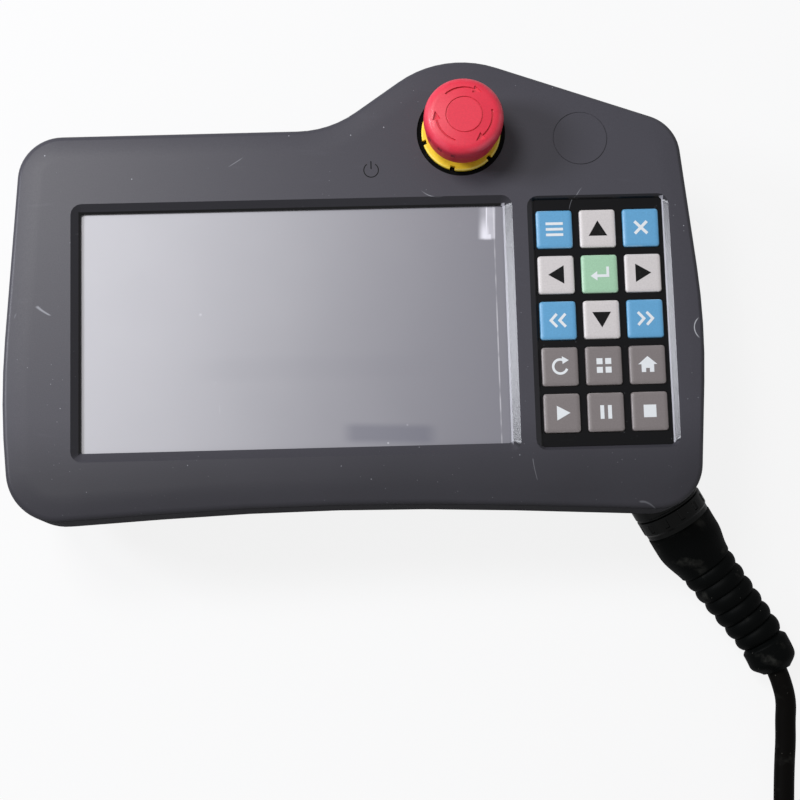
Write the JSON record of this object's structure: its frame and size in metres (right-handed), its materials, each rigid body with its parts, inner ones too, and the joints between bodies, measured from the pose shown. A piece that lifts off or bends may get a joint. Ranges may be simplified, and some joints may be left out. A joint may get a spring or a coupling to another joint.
{
  "type": "teach pendant",
  "caption": "Hand-held teach pendant with a touch screen, keypad, emergency stop, enabling switch, hand strap and a cable that ends in its connector.",
  "frame": {"origin": "under the middle of the housing, on the surface that its feet stand on", "axes": "+X to the right of the screen, +Y to its top, +Z out of the front face"},
  "size_m": [0.2947, 0.4081, 0.082],
  "materials": {
    "shell": "fine-grained dark grey moulding",
    "screen": "touch film, switched off",
    "display_metal": "stamped sheet",
    "board": "solder mask",
    "brass": "turned",
    "steel": "zinc plated",
    "plate": "satin black",
    "key_blue": "satin",
    "key_pale": "satin",
    "key_green": "satin",
    "key_dark": "satin",
    "rubber": "matte",
    "stop_red": "polished",
    "collar_yellow": "polished",
    "inner_plastic": "moulded",
    "gland_plastic": "gloss black",
    "webbing": "woven, padded",
    "cable_jacket": "semi-matte jacket",
    "hood_metal": "powder coat",
    "insert_plastic": "moulded"
  },
  "bodies": {
    "pendant": {"front_housing": "shell", "rear_housing": "shell", "housing_gasket": "rubber", "touch_panel": "screen", "screen_gasket": "rubber", "lcd_module": "display_metal", "lcd_bracket": "display_metal", "main_board": "board", "board_spacers": "brass", "board_screws": "steel", "keypad_plate": "plate", "key_dome_mat": "rubber", "keypad_board": "board", "estop_collar": "collar_yellow", "estop_seal": "rubber", "estop_nut": "steel", "estop_contact_block": "inner_plastic", "enable_bezel": "inner_plastic", "enable_switch": "inner_plastic", "hand_strap": "webbing", "strap_pins": "steel", "bay_cover": "shell", "cover_screws": "steel", "rubber_feet": "rubber", "case_screws": "steel", "cable_gland": "gland_plastic", "gland_nut": "brass", "cable_boot": "rubber", "cable": "cable_jacket", "cable_tail": "cable_jacket", "cable_coil": "cable_jacket", "coil_tie": "webbing", "connector_hood": "hood_metal", "connector_insert": "insert_plastic"},
    "key_menu": {"key_menu": "key_blue"},
    "key_up": {"key_up": "key_pale"},
    "key_escape": {"key_escape": "key_blue"},
    "key_left": {"key_left": "key_pale"},
    "key_enter": {"key_enter": "key_green"},
    "key_right": {"key_right": "key_pale"},
    "key_previous": {"key_previous": "key_blue"},
    "key_down": {"key_down": "key_pale"},
    "key_next": {"key_next": "key_blue"},
    "key_auto": {"key_auto": "key_dark"},
    "key_mode": {"key_mode": "key_dark"},
    "key_home": {"key_home": "key_dark"},
    "key_run": {"key_run": "key_dark"},
    "key_pause": {"key_pause": "key_dark"},
    "key_stop": {"key_stop": "key_dark"},
    "estop_plunger": {"estop_plunger": "inner_plastic"},
    "estop_head": {"estop_head": "stop_red"},
    "enable_button": {"enable_button": "inner_plastic"}
  },
  "joints": [
    {"name": "menu_press", "type": "slide", "parent": "pendant", "child": "key_menu", "axis": [0, 0, -1], "range_m": [0, 0.0006], "stiffness_N_per_m": 1500, "springref_m": -0.0005},
    {"name": "up_press", "type": "slide", "parent": "pendant", "child": "key_up", "axis": [0, 0, -1], "range_m": [0, 0.0006], "stiffness_N_per_m": 1500, "springref_m": -0.0005},
    {"name": "escape_press", "type": "slide", "parent": "pendant", "child": "key_escape", "axis": [0, 0, -1], "range_m": [0, 0.0006], "stiffness_N_per_m": 1500, "springref_m": -0.0005},
    {"name": "left_press", "type": "slide", "parent": "pendant", "child": "key_left", "axis": [0, 0, -1], "range_m": [0, 0.0006], "stiffness_N_per_m": 1500, "springref_m": -0.0005},
    {"name": "enter_press", "type": "slide", "parent": "pendant", "child": "key_enter", "axis": [0, 0, -1], "range_m": [0, 0.0006], "stiffness_N_per_m": 1500, "springref_m": -0.0005},
    {"name": "right_press", "type": "slide", "parent": "pendant", "child": "key_right", "axis": [0, 0, -1], "range_m": [0, 0.0006], "stiffness_N_per_m": 1500, "springref_m": -0.0005},
    {"name": "previous_press", "type": "slide", "parent": "pendant", "child": "key_previous", "axis": [0, 0, -1], "range_m": [0, 0.0006], "stiffness_N_per_m": 1500, "springref_m": -0.0005},
    {"name": "down_press", "type": "slide", "parent": "pendant", "child": "key_down", "axis": [0, 0, -1], "range_m": [0, 0.0006], "stiffness_N_per_m": 1500, "springref_m": -0.0005},
    {"name": "next_press", "type": "slide", "parent": "pendant", "child": "key_next", "axis": [0, 0, -1], "range_m": [0, 0.0006], "stiffness_N_per_m": 1500, "springref_m": -0.0005},
    {"name": "auto_press", "type": "slide", "parent": "pendant", "child": "key_auto", "axis": [0, 0, -1], "range_m": [0, 0.0006], "stiffness_N_per_m": 1500, "springref_m": -0.0005},
    {"name": "mode_press", "type": "slide", "parent": "pendant", "child": "key_mode", "axis": [0, 0, -1], "range_m": [0, 0.0006], "stiffness_N_per_m": 1500, "springref_m": -0.0005},
    {"name": "home_press", "type": "slide", "parent": "pendant", "child": "key_home", "axis": [0, 0, -1], "range_m": [0, 0.0006], "stiffness_N_per_m": 1500, "springref_m": -0.0005},
    {"name": "run_press", "type": "slide", "parent": "pendant", "child": "key_run", "axis": [0, 0, -1], "range_m": [0, 0.0006], "stiffness_N_per_m": 1500, "springref_m": -0.0005},
    {"name": "pause_press", "type": "slide", "parent": "pendant", "child": "key_pause", "axis": [0, 0, -1], "range_m": [0, 0.0006], "stiffness_N_per_m": 1500, "springref_m": -0.0005},
    {"name": "stop_press", "type": "slide", "parent": "pendant", "child": "key_stop", "axis": [0, 0, -1], "range_m": [0, 0.0006], "stiffness_N_per_m": 1500, "springref_m": -0.0005},
    {"name": "stop_push", "type": "slide", "parent": "pendant", "child": "estop_plunger", "axis": [0, 0, -1], "range_m": [0, 0.004], "stiffness_N_per_m": 2500, "springref_m": -0.003},
    {"name": "stop_turn", "type": "hinge", "parent": "estop_plunger", "child": "estop_head", "pos_m": [0.0414, 0.0569, 0.074], "axis": [0, 0, 1], "range_deg": [-30, 0], "stiffness_Nm_per_rad": 0.05, "springref_deg": 5.73},
    {"name": "enable_press", "type": "slide", "parent": "pendant", "child": "enable_button", "axis": [-1, 0, 0], "range_m": [0, 0.003], "stiffness_N_per_m": 3000, "springref_m": -0.001}
  ]
}
